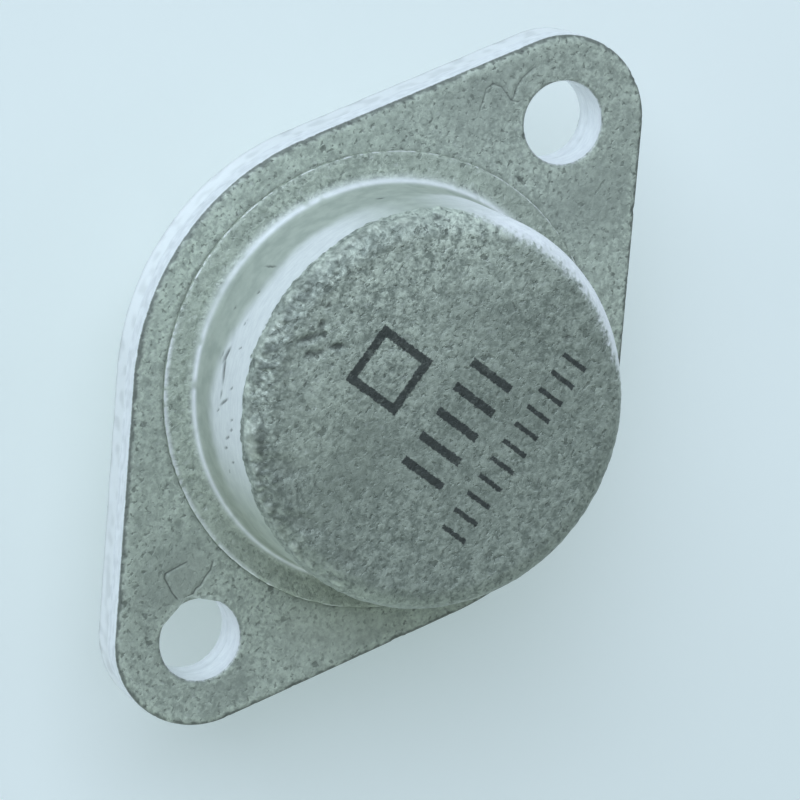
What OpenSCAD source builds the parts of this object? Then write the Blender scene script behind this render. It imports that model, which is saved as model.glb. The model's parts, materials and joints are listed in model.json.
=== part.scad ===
// Power transistor in a two-lead metal can package, in millimetres.
// The origin is the centre of the base's mounting face. +X runs along the two screw holes, +Z up
// the can, and the leads point down.

/* [Base] */
// Thickness of the punched base
base_t = 2.6; // [1.6:0.1:3.4]
// Distance between the two screw holes
hole_spacing = 30.15; // [29.9:0.05:30.4]
// Diameter of each screw hole
hole_d = 4.05; // [3.85:0.05:4.2]
// Radius of the base's rounded ends, centred on the screw holes
end_r = 4.25; // [3.9:0.05:4.6]
// Radius of the base's round middle, centred on the can
middle_r = 12.55; // [12.2:0.05:13.3]

/* [Can] */
// Outer diameter of the can's wall
can_d = 19.1; // [18.4:0.1:19.6]
// Height of the can above the base
can_h = 7.3; // [6.4:0.1:8.2]
// Thickness of the drawn sheet
sheet_t = 0.35; // [0.3:0.05:0.5]
// Diameter of the can's welded brim
brim_d = 22.3; // [21.8:0.1:22.9]
// Outer radius of the bend round the can's top
rim_r = 1.2; // [0.8:0.1:1.4]
// Outer radius of the bend between the wall and the brim
foot_r = 0.7; // [0.5:0.1:0.9]

/* [Leads] */
// Diameter of the free leads
lead_d = 1; // [0.96:0.01:1.06]
// Length of the free leads below the base
lead_len = 11.5; // [11.2:0.1:12.2]
// Distance between the two leads
lead_pitch = 10.92; // [10.7:0.02:11.1]
// Distance from the row of leads to the farther screw hole
lead_to_hole = 16.9; // [16.6:0.1:17.1]
// Chamfer at the cut tip of a lead
tip_c = 0.15; // [0.05:0.05:0.3]
// Diameter of a lead where it passes through the glass
shank_d = 1.4; // [1.3:0.05:1.6]
// Height of the cone between the free lead and its thicker stretch
shoulder_h = 0.2; // [0.1:0.05:0.3]
// Diameter of the nail head inside the can
head_d = 1.9; // [1.8:0.05:2.2]
// Thickness of the nail head
head_t = 0.4; // [0.2:0.05:0.6]
// Diameter of the glass-filled hole round a lead
seal_d = 3.2; // [2.9:0.05:3.5]
// Depth at which the glass stands below each face of the base, at its rim
seal_inset = 0.3; // [0.2:0.05:0.4]
// Further sag of the glass midway between lead and base
seal_sag = 0.12; // [0.05:0.01:0.2]

/* [Chip] */
// Length of the copper pad along the screw holes
pad_l = 9; // [8:0.1:10]
// Thickness of the copper pad
pad_t = 1; // [0.8:0.1:1.5]
// Place of the pad's centre along the screw holes
pad_x = 1; // [0:0.1:1.5]
// Clearance between the pad and the glass-filled holes
pad_clear = 0.35; // [0.2:0.05:0.6]
// Radius of the pad's corners
pad_corner_r = 0.5; // [0.3:0.1:1]
// Thickness of the braze under the pad
braze_t = 0.1; // [0.05:0.01:0.15]
// Length of the chip along the screw holes
die_l = 5.6; // [4.6:0.1:6.4]
// Width of the chip
die_w = 4.8; // [4.4:0.1:5.6]
// Thickness of the chip
die_t = 0.35; // [0.25:0.05:0.5]
// Thickness of the solder under the chip
solder_t = 0.1; // [0.05:0.01:0.15]
// Width of solder that shows round the chip
solder_edge = 0.2; // [0.1:0.05:0.4]

/* [Bond wires] */
// Diameter of the gate wire
gate_wire_d = 0.2; // [0.12:0.01:0.25]
// Diameter of the two drain wires
drain_wire_d = 0.38; // [0.3:0.01:0.4]
// Distance between the two drain wires, along the screw holes
drain_wire_gap = 0.8; // [0.7:0.01:0.9]
// Distance from the chip's edge to the middle of a wire's foot
foot_to_edge = 0.9; // [0.75:0.05:1.2]
// Angle at which a wire leaves its feet, in degrees
launch = 48; // [35:1:60]
// Height of the lowest point of a wire's end above the face that its foot lies on
wire_end_gap = 0.02; // [0.01:0.01:0.04]

/* [Hidden] */
$fn = 64;
// Length by which a cutter passes the face that it cuts
past = 1;
can_r = can_d / 2;
brim_r = brim_d / 2;
hole_x = hole_spacing / 2;
lead_x = hole_x - lead_to_hole;
lead_y = lead_pitch / 2;
// Levels, from the base's upper face to the chip's upper face, where the pins' heads end too
braze_z = base_t;
pad_z = braze_z + braze_t;
solder_z = pad_z + pad_t;
die_z = solder_z + solder_t;
bond_z = die_z + die_t;
pad_w = lead_pitch - seal_d - 2 * pad_clear;
// A wire's flattened foot, as shares of the wire's diameter
foot_len_share = 2.4;
foot_width_share = 1.4;
foot_height_share = 0.7;

// The base's outline: round ends and round middle, joined by straight tangents
module base_outline() {
    tangent_x = (middle_r - end_r) / hole_x;
    tangent_y = sqrt(1 - tangent_x * tangent_x);
    end = [hole_x + end_r * tangent_x, end_r * tangent_y];
    middle = [middle_r * tangent_x, middle_r * tangent_y];
    polygon([
        [end[0], -end[1]], [end[0], end[1]], [middle[0], middle[1]], [-middle[0], middle[1]],
        [-end[0], end[1]], [-end[0], -end[1]], [-middle[0], -middle[1]], [middle[0], -middle[1]]
    ]);
    circle(r = middle_r);
    for (side = [-1, 1]) translate([side * hole_x, 0]) circle(r = end_r);
}

module header_flange() {
    color("#8f9792")
    difference() {
        linear_extrude(base_t) base_outline();
        for (side = [-1, 1]) {
            translate([side * hole_x, 0, -past]) cylinder(d = hole_d, h = base_t + 2 * past);
            translate([lead_x, side * lead_y, -past]) cylinder(d = seal_d, h = base_t + 2 * past);
        }
    }
}

// The region under a bend of radius r at the foot of a wall of radius wall_r, up to height z
module foot_region(wall_r, z, r) {
    difference() {
        translate([wall_r, 0]) square([r, z + r]);
        translate([wall_r + r, z + r]) circle(r = r);
    }
}

// Half section of a round pot with its open side down: radius, height and the bend round its end
module pot_section(r, h, bend) {
    square([r, h - bend]);
    square([r - bend, h]);
    translate([r - bend, h - bend]) circle(r = bend);
}

// The can is one drawn sheet: wall, rounded rim, foot bend and brim have the same thickness
module cap() {
    bend_r = foot_r + sheet_t;
    color("#a2a9a3")
    translate([0, 0, base_t])
    rotate_extrude()
    difference() {
        union() {
            pot_section(can_r, can_h, rim_r);
            square([brim_r, sheet_t]);
            foot_region(can_r, sheet_t, foot_r);
        }
        pot_section(can_r - sheet_t, can_h - sheet_t, rim_r - sheet_t);
        foot_region(can_r - sheet_t, 0, bend_r);
    }
}

// A lead wire: free lead, cone, thicker stretch through the glass, and a nail head at the top
module pin() {
    rotate_extrude()
    polygon([
        [0, -lead_len],
        [lead_d / 2 - tip_c, -lead_len],
        [lead_d / 2, -lead_len + tip_c],
        [lead_d / 2, 0],
        [shank_d / 2, shoulder_h],
        [shank_d / 2, bond_z - head_t],
        [head_d / 2, bond_z - head_t],
        [head_d / 2, bond_z],
        [0, bond_z]
    ]);
}

// A hollow in the glass's face: the arc's radius follows from its width and its sag
module meniscus() {
    half = (seal_d - shank_d) / 4;
    arc_r = (half * half + seal_sag * seal_sag) / (2 * seal_sag);
    translate([shank_d / 2 + half, arc_r - seal_sag]) circle(r = arc_r);
}

// A glass bead that fills the base's hole round a pin, with a hollow face at both ends
module seal() {
    rotate_extrude()
    difference() {
        translate([shank_d / 2, seal_inset])
        square([(seal_d - shank_d) / 2, base_t - 2 * seal_inset]);
        translate([0, base_t - seal_inset]) meniscus();
        translate([0, seal_inset]) mirror([0, 1]) meniscus();
    }
}

module gate_pin() {
    color("#b9b7a8") translate([lead_x, lead_y, 0]) pin();
}

module drain_pin() {
    color("#b9b7a8") translate([lead_x, -lead_y, 0]) pin();
}

module gate_seal() {
    color("#4c6a5e") translate([lead_x, lead_y, 0]) seal();
}

module drain_seal() {
    color("#4c6a5e") translate([lead_x, -lead_y, 0]) seal();
}

// A flat plate centred on the copper pad, with round corners
module plate(l, w, t, corner_r) {
    translate([pad_x, 0])
    linear_extrude(t) {
        square([l - 2 * corner_r, w], center = true);
        square([l, w - 2 * corner_r], center = true);
        for (i = [-1, 1], j = [-1, 1])
            translate([i * (l / 2 - corner_r), j * (w / 2 - corner_r)]) circle(r = corner_r);
    }
}

module heat_spreader() {
    color("#b87351") translate([0, 0, pad_z]) plate(pad_l, pad_w, pad_t, pad_corner_r);
}

module spreader_braze() {
    color("#c9b98a") translate([0, 0, braze_z]) plate(pad_l, pad_w, braze_t, pad_corner_r);
}

module die() {
    color("#5b6470")
    translate([pad_x - die_l / 2, -die_w / 2, die_z]) cube([die_l, die_w, die_t]);
}

module die_solder() {
    color("#c4c6c8")
    translate([0, 0, solder_z])
    plate(die_l + 2 * solder_edge, die_w + 2 * solder_edge, solder_t, solder_edge);
}

// A bond wire of diameter d from one point to another, both on the level of the chip's face
module bond_wire(from, to, d) {
    reach = to - from;
    chord = norm(reach);
    loop_r = chord / 2 / sin(launch);
    end_z = d / 2 * cos(launch) + wire_end_gap;
    translate([from[0], from[1], bond_z])
    rotate([0, 0, atan2(reach[1], reach[0])]) {
        for (x = [0, chord])
            translate([x - d * foot_len_share / 2, -d * foot_width_share / 2, 0])
            cube([d * foot_len_share, d * foot_width_share, d * foot_height_share]);
        translate([chord / 2, 0, end_z - loop_r * cos(launch)])
        rotate([90, 0, 0])
        rotate([0, 0, 90 - launch])
        rotate_extrude(angle = 2 * launch)
        translate([loop_r, 0]) circle(d = d);
    }
}

module gate_wire() {
    color("#d9dcde")
    bond_wire([lead_x, lead_y], [pad_x - die_l / 2 + foot_to_edge, die_w / 2 - foot_to_edge], gate_wire_d);
}

// The drain wires lie side by side, on the pin's head and on the chip
module drain_wire(side) {
    shift = side * drain_wire_gap / 2;
    chip_x = pad_x - die_l / 2 + foot_to_edge;
    chip_y = -die_w / 2 + foot_to_edge;
    color("#d9dcde")
    bond_wire([lead_x + shift, -lead_y], [chip_x + shift, chip_y], drain_wire_d);
}

module drain_wire_1() {
    drain_wire(-1);
}

module drain_wire_2() {
    drain_wire(1);
}

header_flange();
cap();
gate_pin();
drain_pin();
gate_seal();
drain_seal();
heat_spreader();
spreader_braze();
die();
die_solder();
gate_wire();
drain_wire_1();
drain_wire_2();
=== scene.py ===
import json
import math

import bpy
import numpy as np
from mathutils import Matrix, Vector, geometry, noise


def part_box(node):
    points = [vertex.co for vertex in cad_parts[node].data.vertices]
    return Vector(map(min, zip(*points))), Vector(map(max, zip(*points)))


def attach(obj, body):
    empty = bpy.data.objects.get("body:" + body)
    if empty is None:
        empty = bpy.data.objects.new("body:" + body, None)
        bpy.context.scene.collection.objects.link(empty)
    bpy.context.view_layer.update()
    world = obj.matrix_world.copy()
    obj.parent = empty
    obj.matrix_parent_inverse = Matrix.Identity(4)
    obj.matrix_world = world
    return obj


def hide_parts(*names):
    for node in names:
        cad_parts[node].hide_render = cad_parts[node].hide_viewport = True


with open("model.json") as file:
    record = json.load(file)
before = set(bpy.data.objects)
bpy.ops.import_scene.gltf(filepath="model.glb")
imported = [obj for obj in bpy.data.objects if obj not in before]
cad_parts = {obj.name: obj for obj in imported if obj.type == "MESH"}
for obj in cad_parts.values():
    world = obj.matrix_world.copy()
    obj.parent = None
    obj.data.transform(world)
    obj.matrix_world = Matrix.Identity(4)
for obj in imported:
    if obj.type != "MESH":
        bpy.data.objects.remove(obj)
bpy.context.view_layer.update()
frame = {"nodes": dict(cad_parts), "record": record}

# The looks of a power transistor in a two-lead metal can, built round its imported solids. Shapes
# are worked out in millimetres in the row's frame and turned to metres where a mesh is made.

MM = 0.001

# Sizes that the frame gives
flange_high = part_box("header_flange")[1] / MM
cap_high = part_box("cap")[1] / MM
pin_low, pin_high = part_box("gate_pin")
seal_low, seal_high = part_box("gate_seal")
mounts = {mount["name"]: mount for mount in frame["record"]["mounts"]}
screw_hole, free_lead = mounts["screw_hole_plus_x"], mounts["gate_lead"]
HOLE_X = screw_hole["pos_m"][0] / MM
HOLE_R = screw_hole["dims"]["r_mm"]
BASE_T = flange_high.z
END_R = flange_high.x - HOLE_X
MIDDLE_R = flange_high.y
BRIM_R = cap_high.x
TOP_Z = cap_high.z
LEAD_X = free_lead["pos_m"][0] / MM
LEAD_Y = free_lead["pos_m"][1] / MM
LEAD_R = free_lead["dims"]["r_mm"]
TIP_Z = pin_low.z / MM
HEAD_Z = pin_high.z / MM
HEAD_R = (pin_high.x - pin_low.x) / MM / 2
SEAL_R = (seal_high.x - seal_low.x) / MM / 2
SEAL_LOW = seal_low.z / MM
SEAL_HIGH = seal_high.z / MM

# Sizes that repeat those of the solids
WALL_R = 9.55
SHEET_T = 0.35
RIM_BEND = 1.2
FOOT_BEND = 0.7
SHANK_R = 0.7
SHOULDER_H = 0.2
HEAD_T = 0.4
TIP_BEND = 0.15
SEAL_SAG = 0.12


# Camera, floor and lights

CAMERA_PLACE = (-11.5, 96.5, 204.2)
CAMERA_AIM = (-0.25, -1.35, 2.6)
# Direction in the base's plane that points up in the picture, measured from +X
PICTURE_UP = math.radians(38.4)
LENS = 211.3


def add_object(name, data):
    thing = bpy.data.objects.new(name, data)
    bpy.context.scene.collection.objects.link(thing)
    return thing


def make_camera():
    place, aim = Vector(CAMERA_PLACE) * MM, Vector(CAMERA_AIM) * MM
    back = (place - aim).normalized()
    up_hint = Vector((math.cos(PICTURE_UP), math.sin(PICTURE_UP), 0))
    right = up_hint.cross(back).normalized()
    up = back.cross(right)
    data = bpy.data.cameras.new("camera")
    data.lens = LENS
    data.clip_start, data.clip_end = 0.01, 10
    camera = add_object("camera", data)
    camera.matrix_world = Matrix.Translation(place) @ Matrix((right, up, back)).transposed().to_4x4()
    bpy.context.scene.camera = camera


class Number:
    """A number in a node tree, which can be added, subtracted, multiplied and divided."""

    def __init__(self, tree, socket):
        self.tree, self.socket = tree, socket

    def __add__(self, other):
        return self.tree.math("ADD", self, other)

    def __sub__(self, other):
        return self.tree.math("SUBTRACT", self, other)

    def __rsub__(self, other):
        return self.tree.math("SUBTRACT", other, self)

    def __mul__(self, other):
        return self.tree.math("MULTIPLY", self, other)

    def __truediv__(self, other):
        return self.tree.math("DIVIDE", self, other)

    def __abs__(self):
        return self.tree.math("ABSOLUTE", self)


class Tree:
    """Builds one node tree: keywords that name a socket set or link it, and others set the node."""

    def __init__(self, owner):
        owner.use_nodes = True
        self.tree = owner.node_tree
        self.tree.nodes.clear()

    def put(self, kind, **settings):
        node = self.tree.nodes.new("ShaderNode" + kind)
        for key in [key for key in settings if hasattr(node, key)]:
            setattr(node, key, settings.pop(key))
        return self.fill(node, {key.replace("_", " "): value for key, value in settings.items()})

    def feed(self, socket, value):
        if isinstance(value, Number):
            value = value.socket
        elif isinstance(value, bpy.types.Node):
            value = value.outputs[0]
        if isinstance(value, bpy.types.NodeSocket):
            self.tree.links.new(value, socket)
        elif socket.type == "RGBA":
            socket.default_value = (*value, 1)
        else:
            socket.default_value = value

    def fill(self, node, sockets):
        for key, value in sockets.items():
            self.feed(node.inputs[key], value)
        return node

    def math(self, operation, first, second=0.0, clamp=False):
        node = self.put("Math", operation=operation, use_clamp=clamp)
        return Number(self, self.fill(node, {0: first, 1: second}).outputs[0])

    def highest(self, first, second):
        return self.math("MAXIMUM", first, second)

    def mix(self, share, first, second):
        """A colour that goes from first to second."""
        node = self.put("Mix", data_type="RGBA")
        return self.fill(node, {0: share, 6: first, 7: second}).outputs[2]

    def between(self, value, low, high, to_low=0.0, to_high=1.0):
        """A number that goes smoothly from to_low to to_high while its source goes from low to high."""
        node = self.put("MapRange", interpolation_type="SMOOTHSTEP", Value=value, From_Min=low, From_Max=high,
                        To_Min=to_low, To_Max=to_high)
        return Number(self, node.outputs[0])

    def noise(self, where, scale, detail=2.0, roughness=0.5, distortion=0.0):
        node = self.put("TexNoise", Vector=where, Scale=scale, Detail=detail, Roughness=roughness,
                        Distortion=distortion)
        return Number(self, node.outputs[0])

    def marks(self, names):
        """The values that a Body left at its points, one for each name."""
        return [Number(self, self.put("Attribute", attribute_name=name).outputs["Fac"]) for name in names]

    def millimetres(self, stretch=(1, 1, 1)):
        """Object coordinates in millimetres, each axis multiplied by its stretch."""
        node = self.put("VectorMath", operation="MULTIPLY")
        place = self.put("TexCoord").outputs["Object"]
        return self.fill(node, {0: place, 1: [share / MM for share in stretch]})

    def surface(self, **sockets):
        """The shader of a material, with its sockets set or linked, and the material's output."""
        self.put("OutputMaterial", Surface=self.put("BsdfPrincipled", **sockets))


def new_material(name):
    material = bpy.data.materials.new(name)
    return material, Tree(material)


FLOOR_HALF = 1.5
# Gap between the tips of the leads and the floor
FLOOR_DROP = 0.02
# Light that comes up through the sheet, as on a light table
FLOOR_GLOW = (0.127, 0.169, 0.175)


def make_floor():
    """A pale glowing sheet just under the tips of the leads, which shows from above only."""
    z = (TIP_Z - FLOOR_DROP) * MM
    corners = [(x * FLOOR_HALF, y * FLOOR_HALF, z) for x, y in ((-1, -1), (1, -1), (1, 1), (-1, 1))]
    mesh = bpy.data.meshes.new("floor")
    mesh.from_pydata(corners, [], [(0, 1, 2, 3)])
    floor = add_object("floor", mesh)
    material, tree = new_material("pale_floor")
    where = tree.millimetres()
    tone = tree.between(tree.noise(where, 0.02, 3), 0.3, 0.7)
    colour = tree.mix(tone, (0.78, 0.79, 0.79), (0.82, 0.82, 0.82))
    grain = tree.put("Bump", Height=tree.noise(where, 3, 4), Strength=0.05, Distance=0.00002)
    paper = tree.put("BsdfPrincipled", Base_Color=colour, Roughness=0.9, Normal=grain,
                     Emission_Color=FLOOR_GLOW, Emission_Strength=1.0)
    clear = tree.put("BsdfTransparent")
    side = tree.put("MixShader", Fac=tree.put("NewGeometry").outputs["Backfacing"])
    tree.put("OutputMaterial", Surface=tree.fill(side, {1: paper, 2: clear}))
    mesh.materials.append(material)


KEY_TINT = (0.73, 0.85, 1.0)
ROOM_TINT = (0.82, 1.0, 0.97)
# Soft square boxes that face the base's middle: name, direction, size in metres, power and tint. After
# the key come low ones on the base's bright edges, on the can's far rim and on its near rim
LIGHTS = [
    ("key", (0.22, 0.61, 0.76), 0.75, 9.0, KEY_TINT),
    ("side", (0.05, 0.95, 0.25), 0.8, 3.9, KEY_TINT),
    ("far_rim", (0.85, -0.3, 0.45), 0.8, 3.5, KEY_TINT),
    ("near_rim", (-0.8, -0.5, 0.3), 0.8, 3.0, ROOM_TINT),
]
LIGHT_DISTANCE = 1.2
ROOM_AT_HORIZON = 0.34
ROOM_OVERHEAD = 0.19
# Heights of the sky between which the room goes from one brightness to the other
ROOM_HEIGHTS = (0.15, 0.65)
# Way that the dim side of the room lies, and how much of its light is gone there
DIM_SIDE = (-0.42, -0.9, 0.0)
DIM_SHARE = 0.55


def make_area_light(name, direction, size, power, tint):
    data = bpy.data.lights.new(name, "AREA")
    data.size = size
    data.energy = power
    data.color = tint
    aim = Vector(direction).normalized()
    turned = aim.to_track_quat("Z", "Y").to_matrix().to_4x4()
    add_object(name, data).matrix_world = Matrix.Translation(aim * LIGHT_DISTANCE) @ turned


def make_lights():
    """A soft key light in a pale room, brightest at the horizon and dim on one side."""
    world = bpy.data.worlds.new("studio")
    bpy.context.scene.world = world
    tree = Tree(world)
    way = tree.put("TexCoord").outputs["Generated"]
    height = tree.put("SeparateXYZ", Vector=way).outputs["Z"]
    level = tree.between(height, *ROOM_HEIGHTS, ROOM_AT_HORIZON, ROOM_OVERHEAD)
    toward = tree.fill(tree.put("VectorMath", operation="DOT_PRODUCT"), {0: way, 1: DIM_SIDE})
    dim = tree.between(toward.outputs["Value"], 0.25, 0.9, 1.0, 1.0 - DIM_SHARE)
    tree.put("OutputWorld", Surface=tree.put("Background", Color=ROOM_TINT, Strength=level * dim))
    for light in LIGHTS:
        make_area_light(*light)
    bpy.context.scene.view_settings.view_transform = "Standard"


# Meshes

def make_piece(name, body, node, material):
    """A smooth-shaded piece that stands for a CAD node."""
    mesh = bpy.data.meshes.new(name)
    mesh.from_pydata((np.asarray(body.points) * MM).tolist(), [], body.faces)
    mesh.shade_smooth()
    for key, values in body.marks.items():
        layer = mesh.attributes.new(key, "FLOAT", "POINT")
        layer.data.foreach_set("value", np.asarray(values, np.float32))
    mesh.materials.append(material)
    mesh.validate()
    piece = add_object(name, mesh)
    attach(piece, "root")
    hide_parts(node)


def smooth(share):
    share = np.clip(share, 0, 1)
    return share * share * (3 - 2 * share)


def noise_at(points, scale, seed):
    """Perlin noise from about -1 to 1 at each point, with a grain of 1 / scale millimetres."""
    return np.array([noise.noise(Vector(point) * scale + Vector((seed, seed, seed))) for point in points])


def arc(centre, radius, start, end, steps):
    """Points and normals on a round bend of a profile, start and end given in degrees."""
    angles = np.radians(np.linspace(start, end, steps + 1))
    normals = np.stack([np.cos(angles), np.sin(angles)], 1)
    return centre + radius * normals, normals


def line(start, end, step, normal):
    count = max(1, round(math.dist(start, end) / step))
    points = np.linspace(start, end, count + 1)
    return points, np.tile(normal, (count + 1, 1)).astype(float)


def join(stretches):
    """One profile from stretches of (points, normals), each starting where the last one ends."""
    points = np.concatenate([stretches[0][0]] + [stretch[0][1:] for stretch in stretches[1:]])
    normals = np.concatenate([stretches[0][1]] + [stretch[1][1:] for stretch in stretches[1:]])
    return points, normals


def lathe(points, columns):
    """Places (rows, columns, 3) of a profile of (r, z) points."""
    turn = np.linspace(0, 2 * np.pi, columns, endpoint=False)
    r, z = points.T[:, :, None]
    return np.stack([r * np.cos(turn), r * np.sin(turn), z + 0 * turn], 2)


def at_height(points, z):
    """Places in space over places in a plane, all at one height or each at its own."""
    return np.column_stack([points, np.broadcast_to(z, len(points))])


class Body:
    """Points, faces and marks of one mesh while it is being built. Marks are named values at the points."""

    def __init__(self, *marks):
        self.points, self.faces = [], []
        self.marks = {key: [] for key in marks}

    def add(self, points, **marks):
        """Adds points, with marks of zero where none are given, and returns their indices."""
        first = len(self.points)
        self.points += [tuple(point) for point in points]
        for key in self.marks:
            self.marks[key] += np.broadcast_to(marks.get(key, 0.0), len(points)).tolist()
        return list(range(first, first + len(points)))

    def add_grid(self, places, **marks):
        """Adds a (rows, columns, 3) grid, joins its rows, and returns the rows' indices."""
        rows = np.reshape(self.add(places.reshape(-1, 3), **marks), places.shape[:2]).tolist()
        self.bridge(rows)
        return rows

    def bridge(self, loops):
        """Quads between each closed loop of indices and the next, which has as many."""
        for loop, other in zip(loops, loops[1:]):
            self.faces += zip(loop, other, other[1:] + other[:1], loop[1:] + loop[:1])

    def fan(self, loop, centre):
        self.faces += [(centre, a, b) for a, b in zip(loop, loop[1:] + loop[:1])]


def round_loop(centre, radius, count):
    turn = np.linspace(0, 2 * np.pi, count, endpoint=False)
    return centre + radius * np.stack([np.cos(turn), np.sin(turn)], 1)


def grid_points(reach_x, reach_y, step, seed):
    """A jittered grid over a rectangle round the origin."""
    rng = np.random.default_rng(seed)
    grid = np.stack(np.meshgrid(np.arange(-reach_x, reach_x, step), np.arange(-reach_y, reach_y, step)), 2)
    grid = grid.reshape(-1, 2)
    return grid + rng.uniform(-0.3, 0.3, grid.shape) * step


# Distance at which two points of a face are one, and twice the area of the least triangle kept
SAME_POINT = 1e-7
LEAST_TURN = 1e-6


def fill_face(loops, indices, extra, holes=()):
    """Triangles that fill the first loop, round the extra points, and leave the holes out.

    loops are (indices, places) pairs, indices name the extra points, holes are (centre, radius) pairs."""
    names = np.concatenate([loop_indices for loop_indices, _ in loops] + [indices])
    points = np.concatenate([places for _, places in loops] + [extra])
    edges, first = [], 0
    for loop_indices, _ in loops:
        count = len(loop_indices)
        edges += [(first + i, first + (i + 1) % count) for i in range(count)]
        first += count
    inside_constraints = 1
    points = [Vector(point) for point in points]
    made = geometry.delaunay_2d_cdt(points, edges, [], inside_constraints, SAME_POINT)
    places, _, faces, origins = made[:4]
    triangles = []
    for face in faces:
        middle = sum((places[i] for i in face), Vector((0, 0))) / 3
        turn = (places[face[1]] - places[face[0]]).cross(places[face[2]] - places[face[0]])
        in_hole = any((middle - Vector(centre)).length < radius for centre, radius in holes)
        if in_hole or abs(turn) < LEAST_TURN:
            continue
        corners = [int(names[origins[i][0]]) for i in face]
        triangles.append(tuple(corners if turn > 0 else corners[::-1]))
    return triangles


# The can

CAN_COLUMNS = 768
INSIDE_COLUMNS = 96
# Where the rings round the rim give way to the triangles that fill the top
RINGS_FROM = 7.9
# Middles of the rim's bend and of the foot's bend in the can's section
BEND_R, BEND_Z = WALL_R - RIM_BEND, TOP_Z - RIM_BEND
FOOT_R, FOOT_Z = WALL_R + FOOT_BEND, BASE_T + SHEET_T + FOOT_BEND
EDGE_BEND = 0.08
# How far the weld pressed the brim's edge down
EDGE_PRESS = 0.12
# Height above the base at which the bright wall band begins, bright metal that is painted brightest on the
# lit side
IRONED_AND_LIT_FROM = 2.2
# Height above the base of a painted highlight, a bright line round the foot's bend
FOOT_HIGHLIGHT_HEIGHT = 0.55
# Lumps higher than this are pale, and dents narrower than this are dirty
BIG_LUMP = 0.1
THIN_DENT = 0.6


def can_profile():
    """Points and normals of the outer face, from the flat top to the brim's lower edge."""
    brim_z = BASE_T + SHEET_T
    fillet_points, fillet_normals = arc((FOOT_R, FOOT_Z), FOOT_BEND, 180, 270, 14)
    edge_x, edge_z = BRIM_R - EDGE_BEND, brim_z - EDGE_BEND - EDGE_PRESS
    return join([
        line((RINGS_FROM, TOP_Z), (BEND_R, TOP_Z), 0.08, (0, 1)),
        arc((BEND_R, BEND_Z), RIM_BEND, 90, 0, 24),
        line((WALL_R, BEND_Z), (WALL_R, FOOT_Z), 0.12, (1, 0)),
        (fillet_points, -fillet_normals),
        line((FOOT_R, brim_z), (edge_x, brim_z - EDGE_PRESS), 0.16, (0, 1)),
        arc((edge_x, edge_z), EDGE_BEND, 90, 0, 4),
        line((BRIM_R, edge_z), (BRIM_R, BASE_T), 0.1, (1, 0)),
    ])


def can_inside():
    """Points of the inner face, from the brim's underside to the edge of the inner top."""
    inner_r = WALL_R - SHEET_T
    points, _ = join([
        arc((FOOT_R, FOOT_Z), FOOT_BEND + SHEET_T, 270, 180, 6),
        line((inner_r, FOOT_Z), (inner_r, BEND_Z), 0.8, (-1, 0)),
        arc((BEND_R, BEND_Z), RIM_BEND - SHEET_T, 0, 90, 5),
    ])
    return points


# Direction in which the can's top is darker
DARKER_SIDE = math.radians(252)

# Where the can's top is smoother: place of the middle, length, width, direction in degrees
CALM_SPOT = (-4.0, 3.6, 9.5, 8.0, 40)

# Lumps of plating round the can's rim: angle in degrees, place on the bend in degrees below the
# top, length along the rim, width across it, and height
RIM_LUMPS = [
    (131, 50, 2.5, 1.05, 0.15),
    (104, 62, 2.6, 0.9, 0.08),
    (118, 70, 1.2, 0.6, 0.07),
    (140, 50, 0.6, 0.5, 0.11),
    (145, 54, 0.6, 0.45, 0.1),
    (149, 60, 0.5, 0.4, 0.08),
    (152.4, 48, 0.7, 0.6, 0.12),
    (158, 50, 0.8, 0.5, 0.08),
    (162, 58, 0.5, 0.4, 0.08),
    (166.7, 46, 0.7, 0.55, 0.11),
    (170, 56, 0.6, 0.4, 0.07),
    (174, 48, 0.9, 0.4, 0.08),
    (184, 45, 1.2, 0.4, 0.07),
    (96, 50, 0.9, 0.5, 0.06),
    (89, 62, 0.8, 0.5, 0.08),
    (84, 45, 0.5, 0.5, 0.06),
    (78, 60, 0.7, 0.6, 0.08),
    (72, 48, 0.8, 0.5, 0.06),
    (66, 60, 1.1, 0.5, 0.07),
    (58, 66, 0.9, 0.5, 0.07),
    (50, 50, 1.0, 0.5, 0.06),
    (17, 22, 1.1, 0.7, 0.06),
]
# Shallow dents inside the rim: place of the middle, length, width, direction in degrees, depth
TOP_DENTS = [
    (-6.3, 5.1, 3.4, 1.5, 116, 0.09),
    (-7.85, 2.6, 2.6, 1.2, 102, 0.09),
    (-7.9, -0.2, 2.0, 1.0, 88, 0.05),
    (-0.85, 7.75, 1.7, 0.55, -38, 0.1),
    (0.0, 7.6, 0.9, 0.5, 10, 0.09),
    (-1.4, 7.3, 0.7, 0.4, -20, 0.08),
    (-1.15, 6.95, 1.2, 0.38, -34, 0.08),
    (-0.4, 6.35, 1.4, 0.42, -48, 0.08),
    (-0.3, 7.2, 0.6, 0.35, 60, 0.07),
    (0.9, 7.9, 0.6, 0.3, 0, 0.05),
    (6.34, -3.07, 0.35, 0.35, 0, 0.05),
    (5.58, -1.99, 0.25, 0.25, 0, 0.04),
    (7.1, 5.8, 0.9, 0.25, -40, 0.05),
]
NICK_DEPTH = 0.05
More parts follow.
